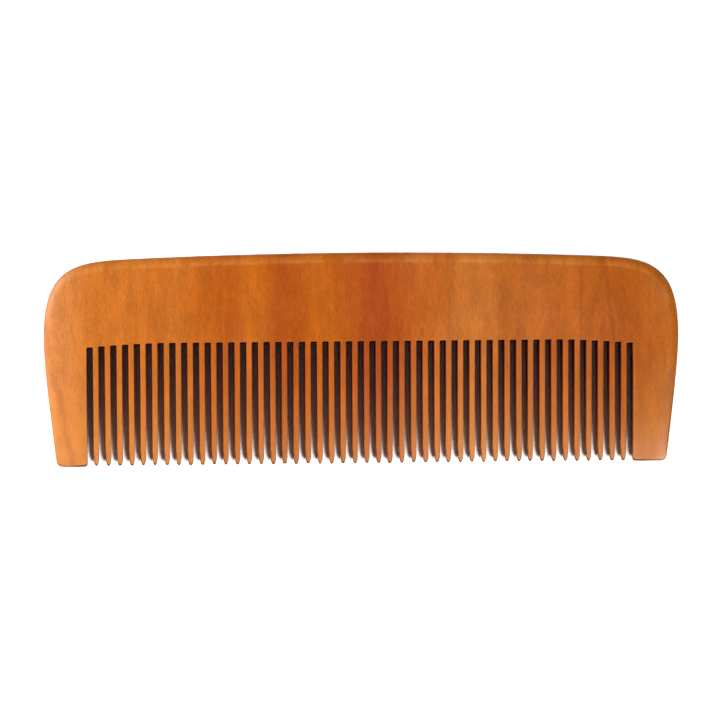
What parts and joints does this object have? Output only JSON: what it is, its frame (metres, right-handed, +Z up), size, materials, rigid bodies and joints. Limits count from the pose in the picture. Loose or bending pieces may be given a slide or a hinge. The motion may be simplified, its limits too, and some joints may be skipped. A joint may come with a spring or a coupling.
{
  "type": "beard comb",
  "caption": "Flat one-piece wooden comb with a low crowned back, fine sawn teeth and a broad guard tooth at each end, thinning from the spine to the tips.",
  "frame": {"origin": "centre of the comb's box in plan, on the lower face that it lies on", "axes": "+X along the comb to the right guard, +Y from the tooth tips to the spine, +Z up through the thickness"},
  "size_m": [0.14, 0.0464, 0.0081],
  "materials": {
    "wood": "satin"
  },
  "bodies": {
    "root": {"back": "wood", "left_guard": "wood", "right_guard": "wood", "tooth_01": "wood", "tooth_02": "wood", "tooth_03": "wood", "tooth_04": "wood", "tooth_05": "wood", "tooth_06": "wood", "tooth_07": "wood", "tooth_08": "wood", "tooth_09": "wood", "tooth_10": "wood", "tooth_11": "wood", "tooth_12": "wood", "tooth_13": "wood", "tooth_14": "wood", "tooth_15": "wood", "tooth_16": "wood", "tooth_17": "wood", "tooth_18": "wood", "tooth_19": "wood", "tooth_20": "wood", "tooth_21": "wood", "tooth_22": "wood", "tooth_23": "wood", "tooth_24": "wood", "tooth_25": "wood", "tooth_26": "wood", "tooth_27": "wood", "tooth_28": "wood", "tooth_29": "wood", "tooth_30": "wood", "tooth_31": "wood", "tooth_32": "wood", "tooth_33": "wood", "tooth_34": "wood", "tooth_35": "wood", "tooth_36": "wood", "tooth_37": "wood", "tooth_38": "wood", "tooth_39": "wood", "tooth_40": "wood", "tooth_41": "wood", "tooth_42": "wood", "tooth_43": "wood", "tooth_44": "wood", "tooth_45": "wood", "tooth_46": "wood"}
  },
  "joints": []
}
